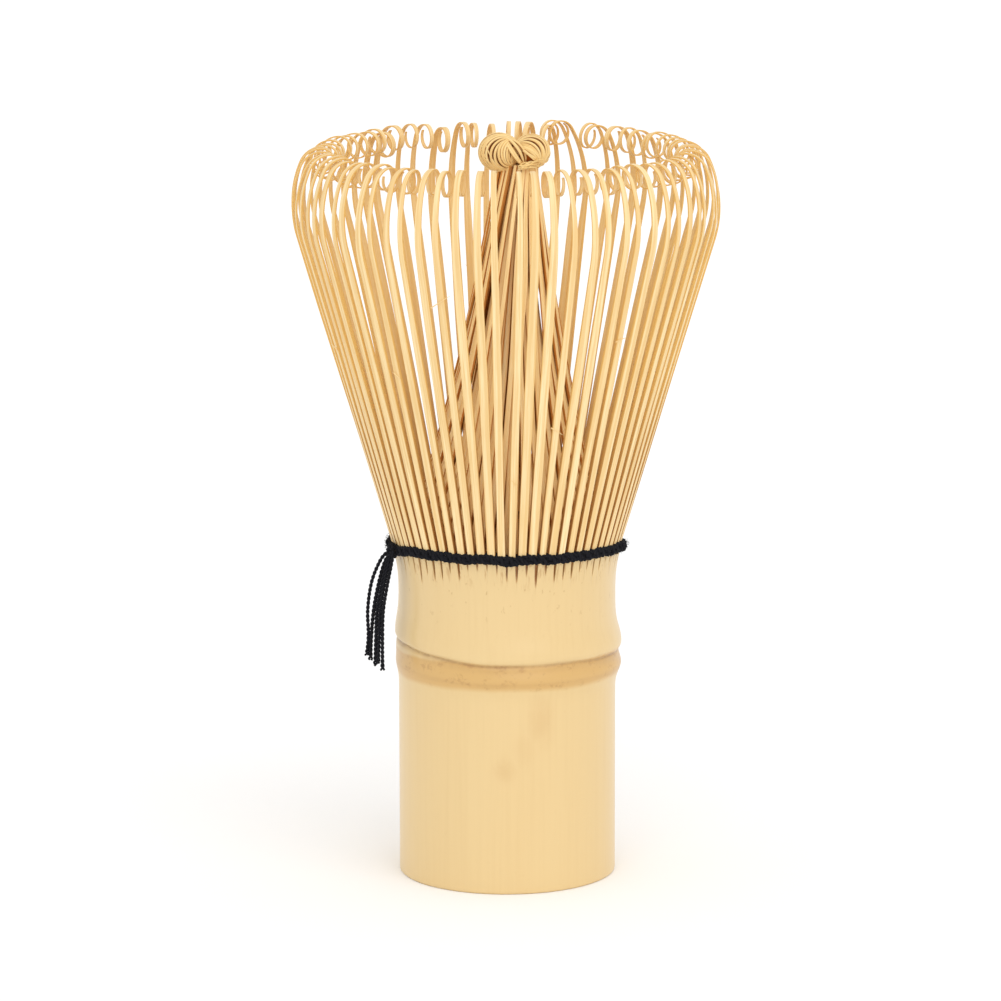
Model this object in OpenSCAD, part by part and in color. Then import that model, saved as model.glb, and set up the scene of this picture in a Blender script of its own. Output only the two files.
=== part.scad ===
// Bamboo tea whisk: a culm handle whose upper end is split into springy outer tines and a cone of
// inner tines, parted by a twined black thread. Millimetres, +Z up, origin at the centre of the base.

/* [Handle] */
// Outer radius of the grip
handle_r = 15.2; // [14.6:0.1:15.6]
// Radius of the hollow inside the handle
bore_r = 11.4; // [10:0.1:12]
// Height of the bamboo joint's upper ridge
joint_z = 33.4; // [31:0.1:34]
// Thickness of the diaphragm across the joint
diaphragm_t = 2.4; // [1.5:0.1:3]
// Height at which the culm ends and the tines begin
rim_z = 44.5; // [44:0.1:45]

/* [Outer tines] */
// Staves that the culm is split into before it is split into tines
staves = 18; // [12:1:18]
// Outer tines, and inner tines, in each stave
tines_per_stave = 4; // [2:1:4]
// Outward lean of the straight stretch, in degrees
lean = 17.2; // [15:0.1:17.4]
// Length of the straight stretch
straight_l = 44.5; // [38:0.1:45]
// Width of a tine, from its root to its tip
tine_w = [1.15, 0.9, 0.76];
// Thickness of a tine, from its root to its tip
tine_t = [0.75, 0.52, 0.28];
// Radius of the curl at the tip, along its middle
curl_r = 1.75; // [1.5:0.05:2]

/* [Inner tines] */
// Height at which the inner tines run into the knot of their tips
knot_z = 99.5; // [98:0.1:100]
// Sideways shift of the cone's top from the axis
apex_x = 1.2; // [0:0.1:2]
// Radius of the innermost layer of tips
apex_r = 1.2; // [1.2:0.1:1.6]

/* [Thread] */
// Height of the middle of the twined band
thread_z = 47.8; // [47.5:0.1:48]
// Rise and fall of each strand about the middle of the band
twine_rise = 0.42; // [0.4:0.01:0.45]
// Direction of the thread's knot, in degrees from +X
knot_angle = 200; // [190:5:230]
// Diameter of one loose thread end
tail_d = 0.6; // [0.4:0.05:0.7]

/* [Hidden] */
count = staves * tines_per_stave;
pitch = 360 / count;
rim_r = 15.5;
rim_inner_r = 13.1;
// The hollow is a little wider above the diaphragm, which rests on the ledge between the two radii
seat_r = bore_r + 0.8;
diaphragm_z = joint_z - 0.8 - diaphragm_t;
root_gap = 0.1;
overall_h = 105;

function two(i) = str(i < 10 ? "0" : "", i);
function outer_name(s) = str("outer_tines_", two(s));
function inner_name(s) = str("inner_tines_", two(s));
function tail_name(t) = str("thread_end_", t);

// ---- Bamboo colours
SKIN = "#ecd6a0";
PALE = "#f4d79a";
SHADE = "#e2b366";
BLACK = "#1b1b1e";

// ---- Handle

// The grip is a true cylinder; above it come the joint's two ridges and the waist under the tines.
module handle_culm() {
    edge = 0.3;
    lower_z = joint_z - 3.7;
    outside = [
        [handle_r - edge, 0],
        [handle_r, edge],
        [handle_r, 26.8],
        [handle_r + 0.25, 28],
        [handle_r + 0.7, lower_z - 0.3],
        [handle_r + 0.75, lower_z + 0.1],
        [handle_r + 0.6, lower_z + 0.7],
        [handle_r + 0.55, joint_z - 1.2],
        [handle_r + 0.9, joint_z - 0.5],
        [handle_r + 0.92, joint_z],
        [handle_r + 0.75, joint_z + 1],
        [handle_r + 0.4, joint_z + 3],
        [handle_r + 0.2, joint_z + 5.5],
        [handle_r + 0.25, joint_z + 7.5],
        [rim_r, rim_z]
    ];
    inside = [
        [rim_inner_r, rim_z],
        [seat_r, rim_z - 4.5],
        [seat_r, diaphragm_z],
        [bore_r, diaphragm_z],
        [bore_r, 0]
    ];
    color(SKIN)
        rotate_extrude($fn = 144)
        polygon(concat(outside, inside));
}

// The wall that bamboo grows across each joint, shutting the handle's hollow off from the tines.
module joint_diaphragm() {
    color(SHADE)
        translate([0, 0, diaphragm_z])
        cylinder(h = diaphragm_t, r = seat_r, $fn = 144);
}

// ---- Outer tines

// The root bends outward over this length and angle, up to the thread
root_l = 3.5;
root_turn = 7;

// Stretches of a tine's middle line, from the root up: [length, turn in degrees, steps].
// They are straight, then bend in through ever tighter arcs to a curl.
stretches = [
    [root_l, root_turn, 2],
    [straight_l, 0, 1],
    arc_stretch(14, -lean, 3),
    arc_stretch(14, -24, 4),
    arc_stretch(4, -66, 6),
    arc_stretch(curl_r, -285, 19)
];

function arc_stretch(r, turn, steps) = [r * abs(turn) * PI / 180, turn, steps];

// One [length, turn] for every short step along the tine.
steps = [for (s = stretches) for (i = [1:s[2]]) [s[0] / s[2], s[1] / s[2]]];
tine_l = sum([for (s = steps) s[0]], len(steps));

// Sum of the first n entries of a list.
function sum(list, n) = n == 0 ? 0 : list[n - 1] + sum(list, n - 1);

// A step's direction, in degrees outward from vertical, at its middle.
function heading(n) =
    lean - root_turn + sum([for (s = steps) s[1]], n) + (n < len(steps) ? steps[n][1] / 2 : 0);

// Middle line points [r, z, distance along, heading], found by walking the steps.
function walk(n) =
    n == 0 ? [[rim_r - tine_t[0] / 2, rim_z + root_gap, 0, lean - root_turn]]
    : let (before = walk(n - 1), p = before[n - 1], s = steps[n - 1], h = heading(n - 1))
    concat(before, [[p[0] + s[0] * sin(h), p[1] + s[0] * cos(h), p[2] + s[0], h + s[1] / 2]]);

tine_line = walk(len(steps));

// Value at a share of the tine's length, from its root, middle and tip values.
function taper(v, share) =
    share < 0.5 ? v[0] + (v[1] - v[0]) * share * 2 : v[1] + (v[2] - v[1]) * (share * 2 - 1);

function tine_side(side) = [
    for (p = tine_line)
        let (half = side * taper(tine_t, p[2] / tine_l) / 2)
        [p[0] + half * cos(p[3]), p[1] - half * sin(p[3])]
];

function reversed(list) = [for (i = [len(list) - 1:-1:0]) list[i]];

// Seen from the side a tine is a thin curled strip.
module tine_side_view() {
    polygon(concat(tine_side(1), reversed(tine_side(-1))));
}

// Seen from the front it tapers, quickly above the rim where the split opens, then slowly.
module tine_front_view() {
    open_z = rim_z + 2.4;
    mid_z = rim_z + 28;
    polygon([
        [-tine_w[0] / 2, rim_z],
        [tine_w[0] / 2, rim_z],
        [tine_w[1] / 2, open_z],
        [tine_w[1] / 2, mid_z],
        [tine_w[2] / 2, overall_h],
        [-tine_w[2] / 2, overall_h],
        [-tine_w[1] / 2, mid_z],
        [-tine_w[1] / 2, open_z]
    ]);
}

module outer_tine() {
    widest = max(tine_w) + 0.2;
    // Past the whisk's rim, which is 30 from the axis
    reach = 40;
    intersection() {
        translate([0, widest / 2, 0])
            rotate([90, 0, 0])
            linear_extrude(widest)
            tine_side_view();
        rotate([90, 0, 90])
            linear_extrude(reach)
            tine_front_view();
    }
}

// The tines of one stave, side by side.
module outer_stave(s) {
    color(PALE)
        for (t = [0:tines_per_stave - 1])
            rotate([0, 0, pitch * ((s - 1) * tines_per_stave + t + 0.5)])
            outer_tine();
}

// ---- Inner tines

// A swept tube or strip: rings[i] is the list of corners of its i-th cross-section.
module sweep(rings) {
    n = len(rings[0]);
    last = len(rings) - 1;
    points = [for (ring = rings) each ring];
    walls = [
        for (i = [0:last - 1])
            for (j = [0:n - 1])
                let (k = (j + 1) % n)
                each [
                    [i * n + j, (i + 1) * n + k, i * n + k],
                    [i * n + j, (i + 1) * n + j, (i + 1) * n + k]
                ]
    ];
    bottom = [for (j = [0:n - 1]) j];
    top = [for (j = [n - 1:-1:0]) last * n + j];
    polyhedron(points = points, faces = concat([bottom], walls, [top]), convexity = 6);
}

function polar(r, a) = [r * cos(a), r * sin(a)];

// Tips lie in three layers, so that all of them fit under the knot.
layer_gap = 0.6;
function tip_r(i) = apex_r + (i % 3) * layer_gap;

// Radius on which the inner tines stand
inner_foot_r = rim_inner_r + 0.55;

// Middle of an inner tine: upright at the rim, then straight to its place at the cone's top.
function inner_middle(i, share) =
    let (
        a = pitch * (i + 1),
        r = inner_foot_r + (tip_r(i) - inner_foot_r) * share,
        xy = polar(r, a)
    )
    [xy[0] + apex_x * share, xy[1]];

// Cross-section of an inner tine at a height: [z, share of the lean, width, thickness].
function inner_ring(i, level) =
    let (
        a = pitch * (i + 1),
        middle = inner_middle(i, level[1]),
        w = level[2] / 2,
        t = level[3] / 2
    )
    [
        for (c = [[-t, -w], [t, -w], [t, w], [-t, w]])
            [
                middle[0] + c[0] * cos(a) - c[1] * sin(a),
                middle[1] + c[0] * sin(a) + c[1] * cos(a),
                level[0]
            ]
    ];

inner_levels = [
    [rim_z + root_gap, 0, 0.72, 0.8],
    [rim_z + 3, 0.01, 0.66, 0.6],
    [rim_z + 6, 0.07, 0.62, 0.5],
    [rim_z + 32, 0.56, 0.48, 0.36],
    [knot_z - 0.02, 1, 0.25, 0.24]
];

module inner_tine(i) {
    sweep([for (level = inner_levels) inner_ring(i, level)]);
}

module inner_stave(s) {
    color(SHADE)
        for (t = [0:tines_per_stave - 1])
            inner_tine((s - 1) * tines_per_stave + t);
}

// The inner tines' tips are twisted together and tucked into a knot: two lobes over a round bun.
module tip_knot() {
    big_r = 3;
    small_r = 2.7;
    bun_r = 1.9;
    color(PALE)
        translate([apex_x, 0, 0])
        difference() {
            union() {
                translate([-2.1, 0, overall_h - big_r])
                    sphere(r = big_r, $fn = 72);
                translate([2.3, 0, overall_h - small_r - 0.4])
                    sphere(r = small_r, $fn = 72);
                translate([0, 0, knot_z + 1.5])
                    rotate_extrude($fn = 72)
                    intersection() {
                        translate([bun_r, 0])
                            circle(r = bun_r, $fn = 48);
                        translate([0, -bun_r])
                            square(2 * bun_r);
                    }
            }
            translate([-6, -6, knot_z - 4])
                cube([12, 12, 4]);
        }
}

// ---- Thread

// Half width and half height of a strand, where it passes between two tines and where it lies on one.
squeezed = [0.13, 0.36];
relaxed = [0.24, 0.38];
thread_front_r = 16.72;
thread_back_r = 15.05;
thread_gap_r = (thread_front_r + thread_back_r) / 2;
// Share of the pitch at which a strand turns from a gap onto a tine
turn_share = 0.12;
// A strand lies this much closer in at a tine's edges than over its middle
edge_dip = 0.04;

// Twined strand: in front of one tine, down through the gap, behind the next, up through the gap.
// Each tine gives a gap point, an entry, a middle and an exit: [x, y, z, half width, half height].
function strand_points(phase, first, last) = [
    for (i = [first:last])
        let (
            front = (i + phase) % 2 == 0,
            r = front ? thread_front_r : thread_back_r,
            side = front ? 1 : -1
        )
        each [
            strand_point(thread_gap_r, i, side * twine_rise, squeezed),
            strand_point(r - side * edge_dip, i + turn_share, side * twine_rise, relaxed),
            strand_point(r, i + 0.5, 0, relaxed),
            strand_point(r - side * edge_dip, i + 1 - turn_share, -side * twine_rise, relaxed)
        ]
];

function strand_point(r, i, rise, size) =
    let (xy = polar(r, pitch * i))
    [xy[0], xy[1], thread_z + rise, size[0], size[1]];

// Rings of a tube along points, each as wide and as high as its point says, and upright.
function upright_rings(points, sides) = [
    for (i = [0:len(points) - 1])
        let (
            p = points[i],
            ahead = points[min(i + 1, len(points) - 1)] - points[max(i - 1, 0)],
            flat = norm([ahead[0], ahead[1]]),
            across = [ahead[1] / flat, -ahead[0] / flat]
        )
        [
            for (j = [0:sides - 1])
                let (a = 360 * j / sides, w = p[3] * cos(a))
                [p[0] + across[0] * w, p[1] + across[1] * w, p[2] + p[4] * sin(a)]
        ]
];

// The strands leave out the gaps that the knot covers.
knot_tine = round(knot_angle / pitch);

module thread_strand(phase) {
    color(BLACK)
        sweep(upright_rings(strand_points(phase, knot_tine + 1, knot_tine + count - 2), sides = 6));
}

// Knot over the band, where both strands end and the loose ends begin.
module thread_knot() {
    knot_r = 1.15;
    sideways = 0.75;
    rise = 0.25;
    color(BLACK)
        rotate([0, 0, knot_angle])
        translate([thread_front_r + 1.2, 0, thread_z])
        union() {
            for (side = [-1, 1])
                translate([0, side * sideways, side * rise])
                sphere(r = knot_r, $fn = 48);
        }
}

// Where each loose end leaves the knot and where it ends: [distance out, sideways, height].
tail_ends = [
    [[18.6, -1.05, 46.4], [20.9, -1.5, 32.1]],
    [[18.7, -0.4, 46.45], [20.3, -0.8, 31.4]],
    [[18.7, 0.3, 46.9], [20.0, 0.0, 30.9]],
    [[18.5, 0.9, 46.8], [19.7, 0.8, 31.3]],
    [[18.1, 1.5, 46.9], [19.3, 1.7, 30.5]]
];
tail_rings = 13;

// A loose end springs out of the knot and then hangs: most of its way out is in its first third.
function tail_route(t) = [
    for (i = [0:tail_rings - 1])
        let (
            share = i / (tail_rings - 1),
            from = tail_ends[t][0],
            to = tail_ends[t][1],
            out = 1 - pow(1 - share, 3)
        )
        [
            from[0] + (to[0] - from[0]) * out,
            from[1] + (to[1] - from[1]) * out,
            from[2] + (to[2] - from[2]) * share
        ]
];

// Rings across a route that runs mostly downward.
function level_rings(route, d, sides) = [
    for (p = route)
        [for (j = [0:sides - 1]) [p[0] + d / 2 * cos(360 * j / sides), p[1] - d / 2 * sin(360 * j / sides), p[2]]]
];

module thread_end(t) {
    color(BLACK)
        rotate([0, 0, knot_angle])
        sweep(level_rings(tail_route(t), tail_d, sides = 8));
}

// ---- Nodes

handle_culm();
joint_diaphragm();
tip_knot();
thread_strand(0);  // thread_strand_a
thread_strand(1);  // thread_strand_b
thread_knot();
for (t = [1:len(tail_ends)])
    thread_end(t - 1);
for (s = [1:staves])
    outer_stave(s);
for (s = [1:staves])
    inner_stave(s);
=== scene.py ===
"""Looks for the bamboo tea whisk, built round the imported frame.

Lengths in the building code are millimetres. Directions are degrees anticlockwise from +X, seen from above.
"""

import math
import random

import bmesh
import bpy
import numpy as np
from mathutils import Matrix, Vector


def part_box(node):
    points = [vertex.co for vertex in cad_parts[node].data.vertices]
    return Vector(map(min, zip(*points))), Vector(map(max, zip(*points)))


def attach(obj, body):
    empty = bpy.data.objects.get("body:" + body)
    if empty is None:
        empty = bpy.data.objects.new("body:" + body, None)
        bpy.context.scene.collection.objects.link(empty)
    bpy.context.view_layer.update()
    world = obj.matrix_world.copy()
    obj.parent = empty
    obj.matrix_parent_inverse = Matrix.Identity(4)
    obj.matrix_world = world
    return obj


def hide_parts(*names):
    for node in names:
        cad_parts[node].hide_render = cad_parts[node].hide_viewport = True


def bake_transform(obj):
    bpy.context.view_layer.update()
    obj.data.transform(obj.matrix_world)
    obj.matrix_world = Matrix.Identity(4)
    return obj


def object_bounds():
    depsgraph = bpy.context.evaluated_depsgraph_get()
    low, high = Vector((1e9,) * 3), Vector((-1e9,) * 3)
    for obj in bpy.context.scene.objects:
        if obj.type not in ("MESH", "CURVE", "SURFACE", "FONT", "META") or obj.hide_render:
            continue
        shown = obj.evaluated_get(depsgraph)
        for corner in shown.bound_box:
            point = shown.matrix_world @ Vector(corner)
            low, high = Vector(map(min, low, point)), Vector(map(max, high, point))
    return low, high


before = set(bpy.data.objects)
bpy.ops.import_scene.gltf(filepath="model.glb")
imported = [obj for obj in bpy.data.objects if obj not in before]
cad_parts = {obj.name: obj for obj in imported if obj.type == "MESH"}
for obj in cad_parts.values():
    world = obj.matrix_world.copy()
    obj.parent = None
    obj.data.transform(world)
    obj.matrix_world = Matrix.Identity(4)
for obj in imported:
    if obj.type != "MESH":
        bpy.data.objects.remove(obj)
cad_low, cad_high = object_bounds()

MM = 0.001
STAVES = sum(1 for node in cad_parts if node.startswith("outer_tines_"))
TINES_PER_STAVE = 4
TINES = STAVES * TINES_PER_STAVE
PITCH = 360 / TINES


def node_box(node):
    """Lowest and highest corner of a CAD node, in millimetres."""
    low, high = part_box(node)
    return np.array(low) / MM, np.array(high) / MM


# ---------------------------------------------------------------- camera, light and floor

# The camera's place is in metres.
LENS = 196.4
CAMERA_PLACE = (-0.00085, -0.7508, 0.2011)
LOOK_DOWN = 11.158
CAMERA_ROLL = -0.108
WORLD_STRENGTH = 0.92
KEY_STRENGTH = 0.85
KEY_SPREAD = 70
KEY_WAY = (-0.25, 0.85, -0.75)
FLOOR_SIZE = 12


def make_camera():
    """Looks a little down on the whisk from the front, from about 0.78 m."""
    data = bpy.data.cameras.new("camera")
    data.sensor_width = 36
    data.lens = LENS
    data.clip_end = 20
    camera = bpy.data.objects.new("camera", data)
    bpy.context.collection.objects.link(camera)
    pitch = Matrix.Rotation(math.radians(90 - LOOK_DOWN), 4, "X")
    roll = Matrix.Rotation(math.radians(CAMERA_ROLL), 4, "Z")
    camera.matrix_world = Matrix.Translation(CAMERA_PLACE) @ pitch @ roll
    bpy.context.scene.camera = camera


def make_studio():
    """White surroundings, one very soft light from the front and above, and a pale floor."""
    scene = bpy.context.scene
    scene.view_settings.view_transform = "Standard"
    scene.view_settings.look = "None"
    world = bpy.data.worlds.new("studio")
    world.use_nodes = True
    background = world.node_tree.nodes["Background"]
    background.inputs["Color"].default_value = (1.0, 1.0, 1.0, 1)
    background.inputs["Strength"].default_value = WORLD_STRENGTH
    scene.world = world
    data = bpy.data.lights.new("soft_key", "SUN")
    data.energy = KEY_STRENGTH
    data.angle = math.radians(KEY_SPREAD)
    light = bpy.data.objects.new("soft_key", data)
    bpy.context.collection.objects.link(light)
    light.rotation_euler = Vector(KEY_WAY).to_track_quat("-Z", "Y").to_euler()
    bpy.ops.mesh.primitive_plane_add(size=FLOOR_SIZE, location=(0, 0, 0))
    floor = bpy.context.object
    floor.name = "floor"
    floor.data.materials.append(floor_material())


# ---------------------------------------------------------------- materials


class Graph:
    """A material's node tree, with short names for what the materials here use."""

    def __init__(self, name):
        self.material = bpy.data.materials.new(name)
        self.material.use_nodes = True
        self.tree = self.material.node_tree
        self.shader = self.tree.nodes["Principled BSDF"]

    def node(self, kind, inputs, **values):
        """A node with its inputs linked or set, and its other values set."""
        made = self.tree.nodes.new(kind)
        for key, value in values.items():
            setattr(made, key, value)
        for key, value in inputs.items():
            self.feed(made.inputs[key], value)
        return made

    def feed(self, socket, value):
        """Links an output, or sets a plain value."""
        if isinstance(value, bpy.types.NodeSocket):
            self.tree.links.new(value, socket)
        else:
            socket.default_value = value

    def attribute(self, name):
        return self.node("ShaderNodeAttribute", {}, attribute_name=name).outputs["Fac"]

    def uv(self):
        return self.node("ShaderNodeUVMap", {}, uv_map="fibre").outputs["UV"]

    def place(self):
        return self.node("ShaderNodeTexCoord", {}).outputs["Object"]

    def stretch(self, vector, scale):
        return self.node("ShaderNodeMapping", {"Vector": vector, "Scale": scale}).outputs["Vector"]

    def noise(self, vector, scale, detail, roughness):
        inputs = {"Vector": self.stretch(vector, scale), "Scale": 1, "Detail": detail, "Roughness": roughness}
        return self.node("ShaderNodeTexNoise", inputs).outputs["Fac"]

    def math(self, operation, a, b=0.0, clamp=False):
        return self.node("ShaderNodeMath", {0: a, 1: b}, operation=operation, use_clamp=clamp).outputs[0]

    def span(self, value, low, high, new_low=0.0, new_high=1.0, smooth=True):
        """Value carried from low..high to new_low..new_high, and held there outside it."""
        inputs = {"Value": value, "From Min": low, "From Max": high, "To Min": new_low, "To Max": new_high}
        kind = "SMOOTHSTEP" if smooth else "LINEAR"
        return self.node("ShaderNodeMapRange", inputs, interpolation_type=kind).outputs["Result"]

    def mix(self, share, a, b):
        """Goes from colour a to colour b."""
        return self.node("ShaderNodeMix", {"Factor": share, 6: a, 7: b}, data_type="RGBA").outputs[2]

    def bump(self, height, strength, distance):
        inputs = {"Height": height, "Strength": strength, "Distance": distance}
        made = self.node("ShaderNodeBump", inputs)
        self.feed(self.shader.inputs["Normal"], made.outputs["Normal"])

    def finish(self, colour, roughness, specular):
        self.feed(self.shader.inputs["Base Color"], colour)
        self.feed(self.shader.inputs["Roughness"], roughness)
        self.shader.inputs["Specular IOR Level"].default_value = specular
        return self.material


def rgb(red, green, blue):
    """A colour given as 0 to 255 on a screen, as the shader wants it."""
    def linear(value):
        value /= 255
        return value / 12.92 if value <= 0.04045 else ((value + 0.055) / 1.055) ** 2.4
    return (linear(red), linear(green), linear(blue), 1)


def floor_material():
    g = Graph("pale_floor")
    return g.finish(rgb(254, 254, 254), 0.9, 0.0)


def split_bamboo(name, face, deep, side, specular):
    """Shaved bamboo: long fine fibres, a tone of its own for each tine, darker cut sides that are partly the
    fibre's colour and partly painted shade, and brown painted shade laid on from the mesh.
    """
    g = Graph(name)
    fibres = g.noise(g.uv(), (7.0, 0.16, 1), 5, 0.6)
    streaks = g.noise(g.uv(), (2.2, 0.035, 1), 3, 0.5)
    tone = g.attribute("tone")
    colour = g.mix(g.span(fibres, 0.35, 0.65, 0, 0.6), face, deep)
    colour = g.mix(g.span(streaks, 0.42, 0.58, 0, 0.75), colour, deep)
    colour = g.mix(g.span(tone, 0, 1, 0, 0.5, smooth=False), colour, deep)
    # Cut sides and inward faces darker and more orange: partly the cut fibre's colour, partly painted shade.
    colour = g.mix(g.span(g.attribute("side"), 0, 1, 0, 0.85), colour, side)
    # Brown painted shade where the mesh's values ask for it: between the tines near the band and on the inner
    # tines' deeper layers.
    colour = g.mix(g.attribute("painted_shade"), colour, rgb(158, 92, 34))
    g.bump(fibres, 0.35, 0.00006)
    return g.finish(colour, g.span(fibres, 0.2, 0.8, 0.38, 0.55), specular)


def soft_spot(g, place, middle, radius, flat):
    """1 at a place on the culm, fading to 0 at a radius, both in millimetres, with a ragged edge."""
    x, y, z = middle
    inputs = {0: g.stretch(place, (1, 1, flat)), 1: (x * MM, y * MM, z * flat * MM)}
    apart = g.node("ShaderNodeVectorMath", inputs, operation="DISTANCE")
    rag = 1.0
    ragged = g.math("MULTIPLY", g.noise(place, (420, 420, 260), 3, 0.6), 2 * rag * MM)
    away = g.math("ADD", apart.outputs["Value"], ragged)
    return g.span(away, (radius + rag) * MM, (0.1 * radius + rag) * MM)


# Heights at which the skin changes, in metres: (none of it, all of it).
BELT_FOOT = (0.0292, 0.0302)
BELT_TOP = (0.0336, 0.0330)
CRACKS_RISE = (0.0425, 0.0462)
SPECKS_RISE = (0.036, 0.044)


def skin_material():
    """The culm's skin: pale and satin, more orange and speckled between the joint's two ridges."""
    g = Graph("bamboo_skin")
    place = g.place()
    blotch = g.math("MAXIMUM", soft_spot(g, place, (4.7, -14.4, 24.6), 2.8, 0.55),
                    soft_spot(g, place, (-0.4, -15.2, 17.7), 2.4, 0.8))
    trail = g.math("MULTIPLY", soft_spot(g, place, (2.4, -15.0, 20.6), 2.6, 0.7), 0.5)
    blotch = g.math("MAXIMUM", blotch, trail)
    height = g.node("ShaderNodeSeparateXYZ", {0: place}).outputs["Z"]
    base = g.mix(g.noise(place, (60, 60, 14), 3, 0.5), rgb(228, 200, 146), rgb(224, 193, 137))
    grain = g.noise(place, (1400, 1400, 35), 4, 0.6)
    colour = g.mix(g.span(grain, 0.4, 0.8, 0, 0.1), base, rgb(204, 166, 108))
    wander = g.math("MULTIPLY", g.noise(place, (90, 90, 90), 2, 0.5), 0.0012)
    level = g.math("ADD", height, wander)
    belt = g.math("MULTIPLY", g.span(level, *BELT_FOOT), g.span(level, *BELT_TOP))
    speckle = g.span(g.noise(place, (700, 700, 900), 3, 0.7), 0.52, 0.7)
    colour = g.mix(g.math("MULTIPLY", belt, 0.85), colour, rgb(210, 167, 99))
    colour = g.mix(g.math("MULTIPLY", g.math("MULTIPLY", belt, speckle), 0.6), colour, rgb(188, 144, 86))
    colour = g.mix(g.math("MULTIPLY", blotch, 0.2), colour, rgb(196, 150, 92))
    cracks = g.span(g.noise(place, (1900, 1900, 110), 3, 0.6), 0.55, 0.68)
    cracked = g.math("MULTIPLY", cracks, g.span(height, *CRACKS_RISE, 0, 0.5))
    colour = g.mix(cracked, colour, rgb(176, 128, 72))
    specks = g.span(g.noise(place, (1500, 1500, 800), 2, 0.5), 0.66, 0.74)
    dotted = g.math("MULTIPLY", specks, g.span(height, *SPECKS_RISE, 0.02, 0.4))
    colour = g.mix(dotted, colour, rgb(170, 124, 70))
    # Painted shade: brown in the joint's crease and under its lower ridge, broken up by noise patches.
    patches = g.noise(place, (900, 900, 900), 3, 0.6)
    crease_shade = g.math("MULTIPLY", g.attribute("painted_shade"), patches, clamp=True)
    colour = g.mix(g.math("MULTIPLY", crease_shade, 1.15, clamp=True), colour, rgb(150, 108, 62))
    # Splits darker brown by their depth: partly the cut fibre's colour, partly painted shade in the split.
    colour = g.mix(g.attribute("side"), colour, rgb(168, 112, 52))
    g.bump(grain, 0.12, 0.00005)
    return g.finish(colour, 0.3, 0.55)


def plain_bamboo(name, light, dark, scale):
    g = Graph(name)
    colour = g.mix(g.noise(g.place(), scale, 5, 0.6), light, dark)
    return g.finish(colour, 0.7, 0.08)


def cotton_material():
    g = Graph("black_cotton")
    fluff = g.noise(g.uv(), (9, 5, 1), 4, 0.7)
    g.bump(fluff, 0.5, 0.00008)
    return g.finish(g.mix(fluff, rgb(14, 14, 16), rgb(38, 38, 44)), 0.9, 0.15)


# ---------------------------------------------------------------- shapes


class Shape:
    """Vertices and faces in millimetres, with what the materials read: fibre UVs, tone, side, and how much
    painted shade to lay on.
    """

    def __init__(self):
        self.verts, self.faces, self.uvs, self.slots = [], [], [], []
        self.tone, self.side, self.painted_shade = [], [], []
        self.count = 0

    def add_sweep(self, sections, lengths, around, tone=0.5, side=0, painted_shade=0, slot=0,
                  closed=False, caps=True):
        """Joins rings of points, which sections holds as (rings, corners, 3).

        lengths and around give the fibre UVs in millimetres. A closed sweep's last ring joins its first.
        """
        rings, corners = sections.shape[:2]
        faces, uvs = [], []
        last = rings if closed else rings - 1
        for i in range(last):
            j = (i + 1) % rings
            for k in range(corners):
                m = (k + 1) % corners
                faces.append((i * corners + k, i * corners + m, j * corners + m, j * corners + k))
                uvs.append(((around[k], lengths[i]), (around[k + 1], lengths[i]),
                            (around[k + 1], lengths[i + 1]), (around[k], lengths[i + 1])))
        if caps and not closed:
            first = tuple(reversed(range(corners)))
            end = tuple((rings - 1) * corners + k for k in range(corners))
            faces += [first, end]
            uvs.append(tuple((around[k], lengths[0]) for k in first))
            uvs.append(tuple((around[k], lengths[-1]) for k in range(corners)))
        self.verts.append(sections.reshape(-1, 3))
        self.faces.extend(tuple(corner + self.count for corner in face) for face in faces)
        self.uvs.extend(uvs)
        self.slots.extend([slot] * len(faces))
        for store, value in ((self.tone, tone), (self.side, side), (self.painted_shade, painted_shade)):
            store.append(np.broadcast_to(value, (rings, corners)).reshape(-1))
        self.count += rings * corners

    def piece(self, name, materials, sharp=None):
        """Makes the mesh object. Edges sharper than sharp degrees stay sharp; without it all are smooth."""
        mesh = bpy.data.meshes.new(name)
        mesh.from_pydata(np.concatenate(self.verts) * MM, [], self.faces)
        for material in materials:
            mesh.materials.append(material)
        mesh.polygons.foreach_set("material_index", np.array(self.slots, np.int32))
        mesh.polygons.foreach_set("use_smooth", np.ones(len(self.faces), bool))
        layer = mesh.uv_layers.new(name="fibre")
        corners = [corner for face in self.uvs for corner in face]
        layer.uv.foreach_set("vector", np.array(corners, np.float32).reshape(-1))
        for key in ("tone", "side", "painted_shade"):
            values = np.concatenate(getattr(self, key)).astype(np.float32)
            mesh.attributes.new(key, "FLOAT", "POINT").data.foreach_set("value", values)
        if sharp is not None:
            mesh.set_sharp_from_angle(angle=math.radians(sharp))
        mesh.validate()
        mesh.update()
        made = bpy.data.objects.new(name, mesh)
        bpy.context.collection.objects.link(made)
        return made


def unit(v):
    return v / np.linalg.norm(v)


def units(rows):
    return rows / np.linalg.norm(rows, axis=1)[:, None]


def square_to(tangents, rows):
    """Unit vectors along rows, with what they have along the tangents taken out."""
    return units(rows - tangents * np.sum(rows * tangents, axis=1)[:, None])


def turned(v, axis, degrees):
    """v turned about a unit axis."""
    a = math.radians(degrees)
    return v * math.cos(a) + np.cross(axis, v) * math.sin(a) + axis * np.dot(axis, v) * (1 - math.cos(a))


def polar(radius, degrees, z=0.0):
    a = math.radians(degrees)
    return np.array([radius * math.cos(a), radius * math.sin(a), z])


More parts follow.
